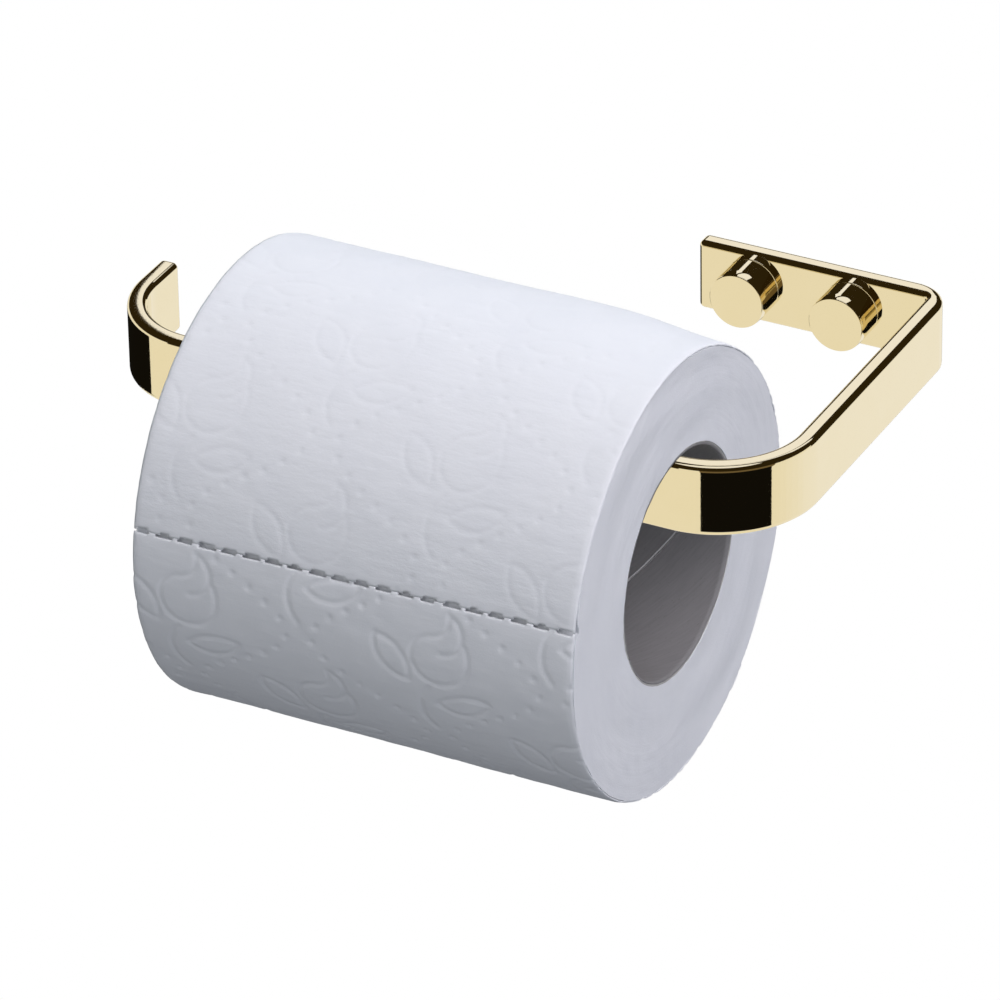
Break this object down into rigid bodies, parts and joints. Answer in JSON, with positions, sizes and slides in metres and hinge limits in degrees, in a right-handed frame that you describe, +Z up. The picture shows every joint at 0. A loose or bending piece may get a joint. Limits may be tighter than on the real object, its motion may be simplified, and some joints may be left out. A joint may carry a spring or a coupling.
{
  "type": "toilet paper holder",
  "caption": "Wall-mounted toilet paper holder: a polished flat bar bent into an open hook, with capped wall fixings and a paper roll that turns on it.",
  "frame": {"origin": "on the wall plane, midway between the centres of the two wall fixings", "axes": "+Y into the wall along the fixings, so the holder stands out towards -Y; +X to the right along the wall for someone facing it; +Z up"},
  "size_m": [0.155, 0.1359, 0.098],
  "materials": {
    "gold_bar": "polished",
    "gold_fixing": "polished",
    "gold_cap": "polished",
    "seal_rubber": "satin",
    "core_board_inner": "matte",
    "core_board_outer": "matte",
    "wound_tissue": "matte",
    "outer_tissue": "matte"
  },
  "bodies": {
    "holder": {"formed_bar": "gold_bar", "collar_left": "gold_fixing", "collar_right": "gold_fixing", "o_ring_left": "seal_rubber", "o_ring_right": "seal_rubber"},
    "cap_left": {"cap_left": "gold_cap"},
    "cap_right": {"cap_right": "gold_cap"},
    "roll": {"core_inner_ply": "core_board_inner", "core_outer_ply": "core_board_outer", "wound_paper": "wound_tissue", "outer_sheet": "outer_tissue"}
  },
  "joints": [
    {"name": "roll_spin", "type": "hinge", "parent": "holder", "child": "roll", "pos_m": [-0.0385, -0.0869, -0.018], "axis": [1, 0, 0], "continuous": true},
    {"name": "cap_left_pull", "type": "slide", "parent": "holder", "child": "cap_left", "axis": [0, -1, 0], "range_m": [0, 0.012]},
    {"name": "cap_right_pull", "type": "slide", "parent": "holder", "child": "cap_right", "axis": [0, -1, 0], "range_m": [0, 0.012]}
  ]
}
